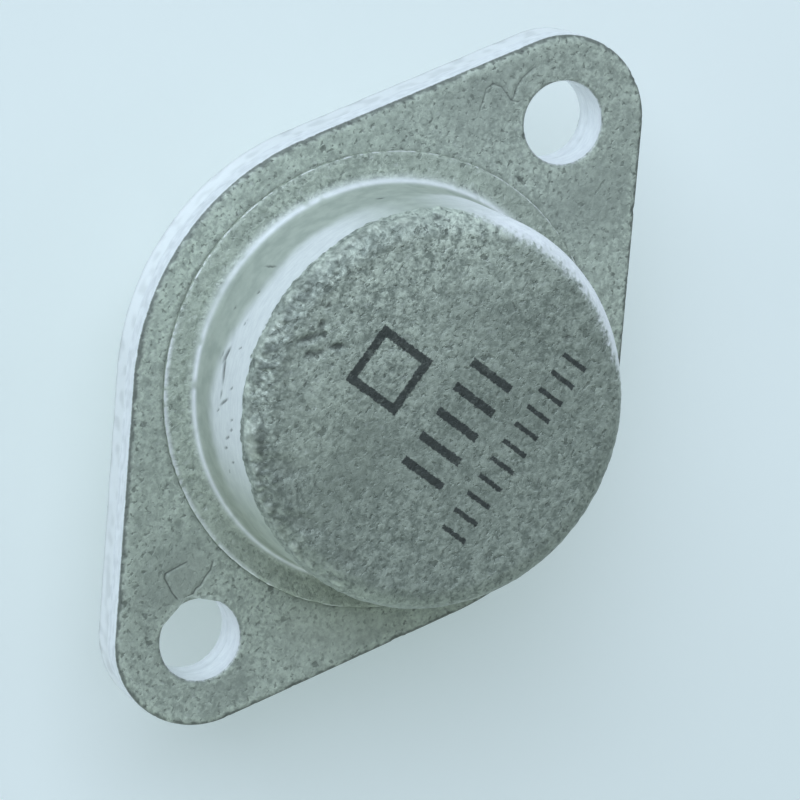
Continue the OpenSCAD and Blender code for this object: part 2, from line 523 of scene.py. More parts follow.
# Nicks in the wall: angle in degrees, height above the base, length, width, lean from the level
WALL_NICKS = [
    (124.3, 3.9, 1.5, 0.2, 62),
    (122.5, 3.5, 0.7, 0.2, 8),
    (115.8, 3.4, 1.9, 0.42, -14),
    (111.6, 3.3, 1.4, 0.4, 30),
    (112.5, 2.8, 0.6, 0.15, 10),
    (98.9, 2.3, 0.3, 0.2, 0),
    (92.0, 3.7, 0.3, 0.25, 70),
    (84.0, 3.0, 1.5, 0.18, 78),
    (46.2, 2.9, 0.6, 0.35, 20),
    (128.0, 5.0, 0.5, 0.15, 70),
    (108.0, 4.6, 0.4, 0.12, 60),
    (101.0, 4.1, 0.5, 0.12, 20),
    (134.0, 4.3, 0.9, 0.16, 66),
    (131.0, 4.9, 0.6, 0.14, 60),
    (137.5, 3.9, 0.7, 0.15, 70),
    (127.5, 3.2, 0.5, 0.14, 50),
    (141.0, 4.5, 0.6, 0.13, 72),
    (119.5, 4.7, 0.5, 0.13, 60),
    (145.0, 3.6, 0.4, 0.12, 40),
]


def oval(x, y, middle_x, middle_y, length, width, angle):
    """One in the middle of an oval, going smoothly to zero at its edge."""
    c, s = math.cos(math.radians(angle)), math.sin(math.radians(angle))
    along = (x - middle_x) * c + (y - middle_y) * s
    across = (y - middle_y) * c - (x - middle_x) * s
    return smooth(1.35 * (1 - np.hypot(along / (length / 2), across / (width / 2))))


def degrees_from(turn, middle):
    """How far each angle lies from the middle one, from -180 to 180 degrees."""
    return (turn - middle + 180) % 360 - 180


def turn_between(turn, middle, half, fade):
    """One for angles within half of the middle, falling to zero over the next fade degrees."""
    return smooth((half + fade - np.abs(degrees_from(turn, middle))) / fade)


def rim_lumps(turn, way, middle, fine):
    """Height and cleanness of the lumps round the rim, and the crevices round them."""
    height_here, clean, crevice = np.zeros((3, len(turn)))
    for angle, below, length, width, height in RIM_LUMPS:
        along = np.radians(degrees_from(turn, angle)) * (WALL_R - 0.35)
        across = way - math.radians(below) * RIM_BEND
        ragged = 0.05 / height * (0.35 * middle + 0.3 * fine)
        out = np.hypot(along / (length / 2), across / (width / 2)) + ragged
        bump = smooth(1.8 * (1 - out))
        height_here += height * bump
        clean = np.maximum(clean, (0.75 if height > BIG_LUMP else 0.45) * bump)
        crevice = np.maximum(crevice, 0.45 * np.exp(-((out - 1.15) / 0.16) ** 2))
    return height_here, clean, crevice


def dents_and_nicks(points, turn, on_top, on_wall):
    """Depth and dirt of the dents in the top and the nicks in the wall."""
    depth_here, dirt = np.zeros((2, len(points)))
    for *place, depth in TOP_DENTS:
        dent = np.where(on_top, oval(points[:, 0], points[:, 1], *place), 0)
        depth_here += depth * dent
        width = place[3]
        dirt = np.maximum(dirt, dent * (0.95 if width < THIN_DENT else 0.3))
    for angle, height, *shape in WALL_NICKS:
        along = np.radians(degrees_from(turn, angle)) * -WALL_R
        nick = np.where(on_wall, oval(along, points[:, 2] - BASE_T, 0, height, *shape), 0)
        depth_here += NICK_DEPTH * nick
        dirt = np.maximum(dirt, 0.9 * nick)
    return depth_here, dirt


def can_relief(points, way):
    """How far each point of the can's outer face stands proud, and its marks.

    way is the distance along the face from the edge of the flat top, negative on the top."""
    x, y, z = points.T
    r, up_wall = np.hypot(x, y), z - BASE_T
    turn = np.degrees(np.arctan2(y, x)) % 360
    coarse = noise_at(points, 0.45, 3.1)
    middle = noise_at(points, 1.7, 7.7)
    fine = noise_at(points, 3.6, 1.3)
    finer = noise_at(points, 6.5, 5.1)
    bend_length = np.pi / 2 * RIM_BEND
    worn_and_sheen_side = turn_between(turn, -10, 22, 34)
    lumpy_side = turn_between(turn, 125, 62, 25)
    near_side = turn_between(turn, 160, 42, 22)
    far_side = turn_between(turn, 40, 35, 40)
    left_edge = turn_between(turn, 148, 28, 20)

    # The mottled skin ends in a ragged edge near the foot of the bend, and higher on one side, where the
    # bright metal below it is partly wear and partly a painted highlight
    skin_end = bend_length * (0.93 - 0.62 * worn_and_sheen_side) + 0.12 * middle + 0.14 * fine
    skin_end += (0.06 + 0.2 * worn_and_sheen_side) * finer
    skin = smooth((skin_end - way) / (0.1 + 0.6 * worn_and_sheen_side) + 0.5)
    push = 0.012 * coarse + skin * (0.012 * middle + 0.01 * fine)
    rim_band = skin * np.exp(-((way - 1.05) / 0.6) ** 2) * (0.25 + 0.75 * lumpy_side)
    push += rim_band * (0.03 * middle + 0.045 * fine + 0.035 * finer)
    push += 0.035 * skin * smooth((way - 0.3) / 0.8)

    # Lumps, and between them a thin broken ridge along the rim
    lumps, clean, crevice = rim_lumps(turn, way, middle, fine)
    ridge = np.exp(-((way - 1.2 - 0.12 * middle) / 0.17) ** 2) * lumpy_side
    ridge *= smooth(0.55 + 0.9 * middle + 1.1 * fine)
    push += lumps + 0.04 * ridge * skin
    clean = np.maximum(clean, 0.5 * ridge)
    # The crevices round the lumps are darkened with dirt and painted shade
    dirt = crevice * (1 - clean) * skin
    push -= 0.03 * dirt
    on_wall = (way > bend_length) & (z > FOOT_Z)
    hollows, hollow_dirt = dents_and_nicks(points, turn, way < bend_length * 0.6, on_wall)
    push -= hollows
    dirt = np.maximum(dirt, hollow_dirt)

    # Below the skin the wall is bright metal down to a smooth dull foot; the band is kept to the lit side, a
    # painted highlight
    ironed_and_lit_from = IRONED_AND_LIT_FROM + 1.7 * turn_between(turn, 40, 45, 45) - 2.0 * worn_and_sheen_side
    ironed_and_lit = smooth((up_wall - ironed_and_lit_from - 0.25 * coarse - 0.15 * middle) / 1.2 + 0.5)
    ironed_and_lit *= np.maximum(0.72 * turn_between(turn, 101, 32, 30), worn_and_sheen_side) * smooth((up_wall - 1) / 0.3)
    below_skin = (1 - skin) * (way > 0)
    on_brim = smooth((r - WALL_R - FOOT_BEND * 0.38) / 0.12) * (z < FOOT_Z)
    # The bright line round the foot's bend is a painted highlight, strongest on the far and near sides
    foot_highlight = np.exp(-((up_wall - FOOT_HIGHLIGHT_HEIGHT) / (0.12 - 0.04 * near_side)) ** 2) * (r < FOOT_R)
    foot_highlight *= smooth(1.2 + 1.2 * middle) * (0.2 + 0.6 * far_side + 0.7 * near_side)
    bare = below_skin * np.maximum(ironed_and_lit, foot_highlight)
    plain = below_skin * (1 - on_brim)

    # The brim's rounded edge is bright in places, partly wear and partly a painted highlight, and dirt lies
    # at its foot
    at_edge = smooth((r - BRIM_R + EDGE_BEND + 0.04 * left_edge) / 0.05) * on_brim
    ragged = 1.2 * middle + 1.5 * fine + 1.5 * finer
    worn = 0.75 * smooth(0.35 + 0.6 * left_edge + (1 - 0.5 * left_edge) * ragged)
    edge_top = smooth((up_wall - SHEET_T + EDGE_PRESS + EDGE_BEND * 0.8) / 0.05)
    bare = np.maximum(bare, at_edge * edge_top * worn)
    dirt = np.maximum(dirt, at_edge * (1 - edge_top) * (0.1 + 0.3 * fine))
    push += at_edge * (0.025 * (middle + fine) - 0.02)

    # The skin is darker just inside the rim, a band of painted shade that is sooty in places, and it is
    # darker toward one side of the top
    toward = (x * math.cos(DARKER_SIDE) + y * math.sin(DARKER_SIDE)) / WALL_R
    rim_shade = np.exp(-((way - 0.9) / 1.2) ** 2) * lumpy_side * (0.8 + 0.4 * coarse + 0.6 * middle)
    sooty = turn_between(turn, 116, 26, 20) * smooth(0.75 + 0.4 * middle + 0.9 * fine + 0.8 * finer)
    dirt = np.maximum(dirt, 0.4 * rim_shade * skin * (1 - clean) * sooty)
    tarnish = np.maximum(smooth((toward + 0.85 + 0.25 * coarse) / 0.9),
                         rim_shade * (1.35 + 1.3 * fine + 1.6 * finer))
    tarnish = np.where(on_brim + below_skin > 0.5, 0, tarnish)
    tarnish = np.maximum(tarnish * (1 - 0.6 * clean), 0)

    # On one side the skin is paler and smoother from the bend down to the brim: painted light that lifts the
    # shade under the can there
    lifted_shade_side = turn_between(turn, 190, 34, 26) * smooth((way - 0.7) / 0.3)
    lifted_shade_side *= 0.75 * smooth(1.0 + 1.2 * middle)
    clean = np.maximum(clean * skin, lifted_shade_side * (0.3 - 0.15 * on_brim))
    calm = np.where(way < 0, 0.6 * oval(x, y, *CALM_SPOT), 0.9 * on_brim)
    return push, dict(bare=bare, plain=plain, dirt=dirt, clean=clean, tarnish=tarnish, calm=calm)


def make_can(material):
    body = Body("bare", "plain", "dirt", "clean", "tarnish", "calm")
    profile, normals = can_profile()
    way = np.concatenate([[0], np.cumsum(np.linalg.norm(np.diff(profile, axis=0), axis=1))])
    way -= BEND_R - RINGS_FROM
    places = lathe(profile, CAN_COLUMNS)
    flat = places.reshape(-1, 3)
    push, marks = can_relief(flat, np.repeat(way, CAN_COLUMNS))
    turn = np.arctan2(flat[:, 1], flat[:, 0])
    normal_r, normal_z = np.repeat(normals, CAN_COLUMNS, axis=0).T
    outward = np.column_stack([normal_r * np.cos(turn), normal_r * np.sin(turn), normal_z])
    raised = flat + push[:, None] * outward
    # The lowest ring stays on the base
    raised[-CAN_COLUMNS:, 2] = BASE_T
    grid = body.add_grid(raised.reshape(places.shape), **marks)

    # The flat top
    extra = grid_points(RINGS_FROM, RINGS_FROM, 0.14, 5)
    extra = extra[np.hypot(*extra.T) < RINGS_FROM - 0.08]
    on_top = at_height(extra, TOP_Z)
    push, marks = can_relief(on_top, np.hypot(*extra.T) - BEND_R)
    indices = body.add(on_top + push[:, None] * (0, 0, 1), **marks)
    body.faces += fill_face([(grid[0], places[0, :, :2])], indices, extra)

    # Inside
    inside = lathe(can_inside(), INSIDE_COLUMNS)
    inner = body.add_grid(inside)
    underside_loops = [(grid[-1], places[-1, :, :2]), (inner[0], inside[0, :, :2])]
    opening = ((0, 0), FOOT_R - 0.001)
    underside = fill_face(underside_loops, [], np.empty((0, 2)), [opening])
    extra = grid_points(8.4, 8.4, 1.2, 6)
    extra = extra[np.hypot(*extra.T) < BEND_R - 0.5]
    indices = body.add(at_height(extra, TOP_Z - SHEET_T))
    inner_top = fill_face([(inner[-1], inside[-1, :, :2])], indices, extra)
    body.faces += [face[::-1] for face in underside + inner_top]
    make_piece("can", body, "cap", material)


# The base

OUTLINE_STEP = 0.13
# Steps inward from the upper edge and the depth of the punch's roll-over there
ROLL_OVER = [(0.42, 0), (0.32, 0.004), (0.23, 0.014), (0.15, 0.032), (0.08, 0.065), (0.03, 0.11), (0.0, 0.18)]
BURNISH_DEPTH = 1.2
# Distances across the tear from the burnished band to the torn one, and whether dirt lies there
TEAR_STEPS = [(0.0, 0), (0.25, 1), (0.6, 1), (1.0, 0)]
TEAR_INSET = 0.07
TEAR_W = 0.14
# Distance inside the outline at which the lower face begins
LOWER_INSET = 0.35


def base_outline(step=OUTLINE_STEP):
    """Points and outward normals round the base: round ends and middle joined by tangents."""
    lean = math.degrees(math.acos((MIDDLE_R - END_R) / HOLE_X))
    bends = [
        ((HOLE_X, 0), END_R, -lean, lean),
        ((0, 0), MIDDLE_R, lean, 180 - lean),
        ((-HOLE_X, 0), END_R, 180 - lean, 180 + lean),
        ((0, 0), MIDDLE_R, 180 + lean, 360 - lean),
    ]
    points, normals = [], []
    for i, (centre, radius, start, end) in enumerate(bends):
        steps = round(radius * math.radians(end - start) / step)
        bend_points, bend_normals = arc(centre, radius, start, end, steps)
        points.append(bend_points)
        normals.append(bend_normals)
        next_centre, next_radius, _, _ = bends[(i + 1) % 4]
        corner = next_centre + next_radius * bend_normals[-1]
        straight, straight_normals = line(bend_points[-1], corner, step, bend_normals[-1])
        points.append(straight[1:-1])
        normals.append(straight_normals[1:-1])
    return np.concatenate(points), np.concatenate(normals)


def inside_outline(points, inset):
    """True for the points that lie more than inset inside the base's outline."""
    outline, normals = base_outline(0.6)
    depth = np.min([(outline_point - points) @ normal for outline_point, normal in zip(outline, normals)], 0)
    return depth > inset


# Cracks in the base's plating, as chains of places, and the flake that one of them goes round
FLAKE = [
    (-12.45, 2.95), (-12.8, 3.15), (-13.45, 3.5), (-13.65, 3.4), (-13.8, 3.05), (-14.0, 2.65), (-14.1, 2.25),
    (-13.85, 1.95), (-13.5, 1.7), (-13.2, 1.75), (-12.95, 1.65), (-12.5, 1.7), (-12.1, 1.68), (-11.75, 1.8),
    (-11.9, 2.3), (-12.2, 2.6),
]
CRACKS = [
    FLAKE[:7],
    FLAKE[7:14],
    [(16.3, 2.93), (15.93, 3.04), (15.5, 3.13), (15.06, 3.11), (14.65, 2.95), (14.38, 2.91), (14.53, 2.59)],
    [(14.38, 2.91), (14.53, 3.45), (14.61, 3.77), (14.44, 4.22), (14.06, 4.34), (13.6, 4.15), (13.11, 4.0)],
    [(11.65, 0.37), (11.56, -0.18), (11.77, -0.14)],
]
# Dark stains on the base: place of the middle, length, width, direction in degrees
STAINS = [
    (-16.3, 2.45, 1.7, 0.22, 30),
    (11.6, 0.05, 0.5, 0.3, 70),
]
# Duller spots on the base: place of the middle, length, width, direction in degrees, strength
DULL_SPOTS = [
    (13.2, -3.8, 9.0, 5.5, -25, 1.0),
    (13.8, 4.2, 9.0, 4.8, 14, 0.7),
    (-13.4, 2.9, 8.5, 5.5, 15, 0.9),
    (-16.0, -2.5, 5.0, 4.0, 0, 0.9),
    (-8.4, 8.4, 11.0, 5.0, 45, 0.5),
    (-11.5, -8.0, 7.0, 4.0, 40, 0.5),
]
# A spot painted paler beside the can, painted light that lifts the shade there: place of the middle, length,
# width, direction in degrees
LIFTED_SHADE_SPOT = (-11.3, -5.3, 8.0, 4.0, 115)
CRACK_W = 0.13
CRACK_DEPTH = 0.03
CRACK_STEP = 0.09


def away_from_chain(points, chain):
    """Distance of each point from a chain of places."""
    best = np.full(len(points), 1e9)
    for a, b in zip(np.array(chain), np.array(chain[1:])):
        share = np.clip((points - a) @ (b - a) / ((b - a) @ (b - a)), 0, 1)
        best = np.minimum(best, np.linalg.norm(points - a - share[:, None] * (b - a), axis=1))
    return best


def chain_points(chain, offset):
    """Points along a chain and on both sides of it."""
    found = []
    for a, b in zip(np.array(chain), np.array(chain[1:])):
        count = max(1, round(np.linalg.norm(b - a) / CRACK_STEP))
        side = np.array([a[1] - b[1], b[0] - a[0]]) / np.linalg.norm(b - a)
        middle = np.linspace(a, b, count + 1)
        found += [middle, middle + side * offset, middle - side * offset]
    return np.concatenate(found)


def upper_relief(points):
    """At places in the base's upper plane: height above it, darkness of grime with painted shade in the
    cracks, and how far the flake lifts there.
    """
    flat = at_height(points, 0)
    height = 0.01 * noise_at(flat, 0.5, 5.0) + 0.007 * noise_at(flat, 2.0, 9.0) - 0.008
    dirt = np.zeros(len(points))
    for chain in CRACKS:
        groove = np.clip(1 - away_from_chain(points, chain) / (CRACK_W / 2), 0, 1)
        height -= CRACK_DEPTH * groove
        # The cracks are darkened with dirt and painted shade
        dirt = np.maximum(dirt, (0.95 if chain[0][0] < 0 else 0.65) * smooth(2 * groove))
    for stain in STAINS:
        dirt = np.maximum(dirt, 0.6 * oval(*points.T, *stain))
    round_brim = np.abs(np.hypot(*points.T) - BRIM_R - 0.03) < 0.08
    dirt = np.maximum(dirt, 0.2 * round_brim)
    lift = smooth(1.4 - np.linalg.norm((points - np.mean(FLAKE, 0)) / (1.5, 1.15), axis=1))
    return height + 0.02 * lift, dirt, lift


def make_side(body, outline, normals):
    """Rings down the base's edge: the rolled edge, the burnished band, the tear and the torn band."""
    around = at_height(outline, 0)
    chip = noise_at(around, 1.3, 2.0)
    chip_fine = noise_at(around, 4.0, 4.0)
    wave = noise_at(around, 0.35, 6.0)
    ripple = noise_at(around, 0.9, 16.0)

    def ring(inset, depth, **marks):
        places = outline - normals * np.reshape(inset, (-1, 1))
        return body.add(at_height(places, BASE_T - depth), **marks)

    loops = []
    for inset, depth in ROLL_OVER:
        share = 1 - inset / ROLL_OVER[0][0]
        nibble = np.maximum(chip + 0.8 * chip_fine - 0.3, 0) * 0.07 * share
        ragged = 0.3 * chip + 0.45 * chip_fine
        edge_dirt = 0.9 * smooth((share - 0.5 + 0.8 * ragged) / 0.25) * (depth < 0.15)
        height, _, _ = upper_relief(outline - normals * inset)
        drop = depth + nibble * 0.6 - height * (1 - share)
        loops.append(ring(inset + nibble, drop, bare=smooth((depth - 0.1) / 0.07), dirt=edge_dirt))
    roll_depth = ROLL_OVER[-1][1]
    tear = BURNISH_DEPTH + 0.1 * wave + 0.1 * ripple + 0.04 * chip_fine
    for share in np.linspace(0.14, 0.95, 6):
        drag = 0.03 + 0.14 * smooth(0.4 + 1.6 * noise_at(around + (0, 0, 1.7 * share), 2.6, 21.0))
        loops.append(ring(0.0, roll_depth + (tear - roll_depth) * share, bare=1.0, dirt=drag))
    in_tear = 0.55 * smooth(0.9 + 0.9 * ripple + 0.5 * chip_fine)
    for share, dark in TEAR_STEPS:
        depth = tear - 0.04 + TEAR_W * share
        loops.append(ring(TEAR_INSET * smooth(share), depth, bare=1.0, dirt=dark * in_tear))
    low = BASE_T - 0.07
    # Painted shade: the side is darker away from the middle of the base
    painted_side_shade = 0.12 * smooth((np.abs(outline[:, 0]) - 3) / 4)
    for share in np.linspace(0.12, 1, 9):
        depth = tear + 0.08 + (low - tear - 0.08) * share
        places = at_height(outline, -depth)
        rough = noise_at(places, 1.4, 8.0)
        torn = noise_at(places, 3.5, 18.0)
        inset = 0.06 - 0.045 * share + 0.02 * rough + 0.015 * torn
        low_dirt_and_shade = 0.28 * smooth((share - 0.86) / 0.08) + 0.16 * smooth(2 * rough) + painted_side_shade
        loops.append(ring(inset, depth, bare=1.0, torn=1.0, dirt=low_dirt_and_shade))
    loops.append(ring(0.06, BASE_T, bare=0.7, dirt=0.5))
    loops.append(ring(LOWER_INSET, BASE_T))
    body.bridge(loops)
    return loops[0], loops[-1]


SCREW_HOLE_COLUMNS = 120
SEAL_HOLE_COLUMNS = 72
# Rings down a punched hole: distance out from its wall, depth, bare, dirt
HOLE_RINGS = [
    (0.26, 0.0, 0, 0),
    (0.15, 0.008, 0, 0.15),
    (0.08, 0.025, 0, 0.5),
    (0.03, 0.06, 0.4, 0.6),
    (0.0, 0.11, 1, 0.1),
    (0.0, 0.5, 1, 0),
    (0.0, 1.0, 1, 0),
    (0.0, 1.5, 1, 0),
    (0.012, 1.62, 1, 0.15),
    (0.0, 2.0, 1, 0),
    (0.0, BASE_T - 0.05, 1, 0),
    (0.05, BASE_T, 0.5, 0.2),
    (0.2, BASE_T, 0, 0),
]


def make_hole(body, centre, radius, columns, roll):
    """Rings down one hole, its rolled edge scaled by roll: its upper and lower (indices, places)."""
    rings = []
    for outset, depth, bare, dirt in HOLE_RINGS:
        loop = round_loop(centre, radius + outset * roll, columns)
        height = upper_relief(loop)[0] * min(1, outset / 0.15) if depth < 0.1 else 0
        z = BASE_T - depth * (roll if depth < 0.3 else 1) + height
        places = at_height(loop, z)
        ragged = 0.7 + 0.5 * noise_at(places, 3.0, 1.0)
        rings.append((body.add(places, bare=bare, dirt=dirt * ragged), loop))
    body.bridge([indices for indices, _ in reversed(rings)])
    return rings[0], rings[-1]


def make_base(material):
    body = Body("bare", "dirt", "clean", "torn", "tarnish")
    outline, normals = base_outline()
    upper_edge, lower_edge = make_side(body, outline, normals)
    makes = [((side * HOLE_X, 0), HOLE_R, SCREW_HOLE_COLUMNS, 1.0) for side in (-1, 1)]
    makes += [((LEAD_X, side * LEAD_Y), SEAL_R, SEAL_HOLE_COLUMNS, 0.4) for side in (-1, 1)]
    holes = [(centre, radius) for centre, radius, _, _ in makes]
    upper_loops = [(upper_edge, outline - normals * ROLL_OVER[0][0])]
    lower_loops = [(lower_edge, outline - normals * LOWER_INSET)]
    for make in makes:
        upper, lower = make_hole(body, *make)
        upper_loops.append(upper)
        lower_loops.append(lower)

    def clear_of_holes(points, room):
        return np.all([np.linalg.norm(points - c, axis=1) > r + room for c, r in holes], 0)

    # Upper face: fine where it shows, coarse under the can
    reach = (flange_high.x, flange_high.y)
    fine = grid_points(*reach, 0.15, 11)
    fine = fine[np.hypot(*fine.T) > BRIM_R - 0.4]
    fine = fine[inside_outline(fine, ROLL_OVER[0][0] + 0.08) & clear_of_holes(fine, 0.34)]
    coarse = grid_points(*reach, 1.0, 12)
    coarse = coarse[(np.hypot(*coarse.T) < BRIM_R - 0.9) & clear_of_holes(coarse, 0.6)]
    cracks = np.concatenate([chain_points(chain, CRACK_W / 2) for chain in CRACKS])
    for chain in CRACKS:
        fine = fine[away_from_chain(fine, chain) > CRACK_W * 0.9]
    extra = np.concatenate([fine, coarse, cracks])
    height, dirt, lift = upper_relief(extra)
    height = np.where(np.hypot(*extra.T) < BRIM_R, np.minimum(height, 0), height)
    tarnish = 0.3 * smooth((np.abs(extra[:, 0]) - 9) / 6)
    for *place, strength in DULL_SPOTS:
        tarnish = np.maximum(tarnish, strength * oval(*extra.T, *place))
    # Painted light: the spot beside the can is made paler to lift its shade
    clean = np.maximum(0.35 * lift, 0.3 * oval(*extra.T, *LIFTED_SHADE_SPOT))
    indices = body.add(at_height(extra, BASE_T + height), dirt=dirt, clean=clean, tarnish=tarnish)
    body.faces += fill_face(upper_loops, indices, extra, holes)

    # Lower face
    extra = grid_points(*reach, 0.8, 13)
    extra = extra[inside_outline(extra, 0.7) & clear_of_holes(extra, 0.5)]
    indices = body.add(at_height(extra, 0))
    body.faces += [face[::-1] for face in fill_face(lower_loops, indices, extra, holes)]
    make_piece("base", body, "header_flange", material)


# Leads and glass

LEAD_COLUMNS = 48
# Depth below the base from which the leads were dipped in solder, and the solder's thickness
DIP_FROM = 7.2
DIP_T = 0.02


def lead_profile():
    """Points and normals of a lead: nail head, thicker stretch in the glass, cone, free lead, cut tip."""
    head_bend = 0.1
    bend_r, bend_z, under_z = HEAD_R - head_bend, HEAD_Z - head_bend, HEAD_Z - HEAD_T
    tip_r, tip_z = LEAD_R - TIP_BEND, TIP_Z + TIP_BEND
    points, normals = join([
        line((0, HEAD_Z), (bend_r, HEAD_Z), 0.3, (0, 1)),
        arc((bend_r, bend_z), head_bend, 90, 0, 3),
        line((HEAD_R, bend_z), (HEAD_R, under_z), 0.2, (1, 0)),
        line((HEAD_R, under_z), (SHANK_R, under_z), 0.2, (0, -1)),
        line((SHANK_R, under_z), (SHANK_R, SHOULDER_H), 0.3, (1, 0)),
        line((SHANK_R, SHOULDER_H), (LEAD_R, 0), 0.07, (1, 0)),
        line((LEAD_R, 0), (LEAD_R, tip_z), 0.12, (1, 0)),
        arc((tip_r, tip_z), TIP_BEND, 0, -90, 4),
        line((tip_r, TIP_Z), (0, TIP_Z), 0.1, (0, -1)),
    ])
    return points[1:-1], normals[1:-1]


def make_lead(name, side, material):
    points, normals = lead_profile()
    places = lathe(points, LEAD_COLUMNS)
    x, y, z = np.moveaxis(places, 2, 0)
    # Each lead has grain of its own
    flat = places.reshape(-1, 3) + (0, side * 20, 0)
    lumps = noise_at(flat * (1, 1, 0.4), 1.4, 12.0).reshape(z.shape)
    cut = noise_at(flat, 4.0, 3.0).reshape(z.shape)
    tinned = smooth((-z - DIP_FROM - 0.3 * lumps) / 0.25)
    push = np.where(z < -0.1, 0.012 * lumps - 0.008, 0) * smooth((-z - 0.1) / 0.5)
    push += DIP_T * tinned * smooth((z - TIP_Z) / 0.6)
    normal_r, normal_z = normals.T[:, :, None]
    tip_push = np.where(normal_z < -0.5, 0.02 * np.abs(cut), 0) * (z < TIP_Z + 0.2)
    push *= normal_r / np.hypot(x, y)
    places = places + np.stack([push * x, push * y, tip_push], 2)
    middle = np.array((LEAD_X, side * LEAD_Y, 0))
    body = Body("tinned")
    top, tip = body.add([middle + (0, 0, HEAD_Z), middle + (0, 0, TIP_Z)], tinned=[0, 1])
    rows = body.add_grid(places + middle, tinned=tinned.reshape(-1))
    body.fan(rows[0], top)
    body.fan(rows[-1][::-1], tip)
    make_piece(name + "_lead", body, name + "_pin", material)


def make_glass(name, side, material):
    """A ring of glass between lead and base, its faces drawn up at both walls."""
    columns, steps = 72, 12
    across = [(SHANK_R + (SEAL_R - SHANK_R) * share, SEAL_SAG * 4 * share * (1 - share))
              for share in np.linspace(0, 1, steps + 1)]
    upward = [SEAL_LOW + (SEAL_HIGH - SEAL_LOW) * share for share in (0.25, 0.5, 0.75)]
    rings = [(r, SEAL_HIGH - sag) for r, sag in across]
    rings += [(SEAL_R, z) for z in reversed(upward)]
    rings += [(r, SEAL_LOW + sag) for r, sag in reversed(across)]
    rings += [(SHANK_R, z) for z in upward]
    body = Body()
    loops = []
    for r, z in rings:
        places = at_height(round_loop((LEAD_X, side * LEAD_Y), r, columns), z)
        if SHANK_R < r < SEAL_R:
            places[:, 2] += 0.012 * noise_at(places, 1.6, 5.0)
        loops.append(body.add(places))
    body.bridge(loops + loops[:1])
    make_piece(name + "_glass", body, name + "_seal", material)


# Materials

# Print of a plain frame and two rows of plain bars: centre, size and stroke of the frame, and
# first bar's middle, pitch, count, width and height of each row
PRINT_FRAME = (0.16, 3.5, 3.1, 0.42)
PRINT_ROWS = [
    (-2.75, -0.95, 1.38, 5, 0.42, 2.5),
    (-4.2, -4.1, 0.98, 11, 0.24, 1.45),
]
INK = (0.045, 0.05, 0.05)


def ink_mask(tree, where):
    """Where the print lies: one inside its shapes, with edges worn by the grain under it."""
    fray = (tree.noise(where, 6.0, 3, 0.6) - 0.5) * 0.22
    place = tree.put("SeparateXYZ", Vector=where)
    x, y = [Number(tree, place.outputs[axis]) for axis in "XY"]

    def inside(distance, half):
        return tree.between(distance + fray, half - 0.035, half + 0.035, 1.0, 0.0)

    middle_x, middle_y, size, stroke = PRINT_FRAME
    square = tree.highest(abs(x - middle_x), abs(y - middle_y))
    mask = inside(square, size / 2) * (1.0 - inside(square, size / 2 - stroke))
    for first_x, row_y, pitch, count, width, height in PRINT_ROWS:
        from_first = x - first_x
        from_bar = from_first - tree.math("ROUND", from_first / pitch) * pitch
        row_middle = first_x + (count - 1) * pitch / 2
        in_row = inside(abs(x - row_middle), (count - 0.5) * pitch / 2)
        bars = inside(abs(from_bar), width / 2) * inside(abs(y - row_y), height / 2) * in_row
        mask = tree.highest(mask, bars)
    worn = tree.between(tree.noise(where, 2.2, 4, 0.65), 0.3, 0.46, 0.75, 1.0)
    return mask * worn


# Tones of the plating where it is dull and even, where it is calm, where it is clean and where it is painted
# lighter, and of its flecks, dirt and painted shade
QUIET = [(0.42, 0.46, 0.405), (0.5, 0.54, 0.475)]
CALM = [(0.35, 0.385, 0.33), (0.53, 0.575, 0.49)]
CLEAN_AND_LIT_TONE = (0.75, 0.785, 0.69)
FLECK = (0.85, 0.88, 0.84)
DIRT_AND_SHADE_TONE = (0.1, 0.11, 0.1)
# Tones of the metal under it where it is smooth, scratched and torn; the smooth tones also paint highlights
BRIGHT = [(0.87, 0.875, 0.9), (0.95, 0.955, 0.97)]
SCRATCHED = (0.5, 0.51, 0.54)
TORN = (0.96, 0.965, 0.975)


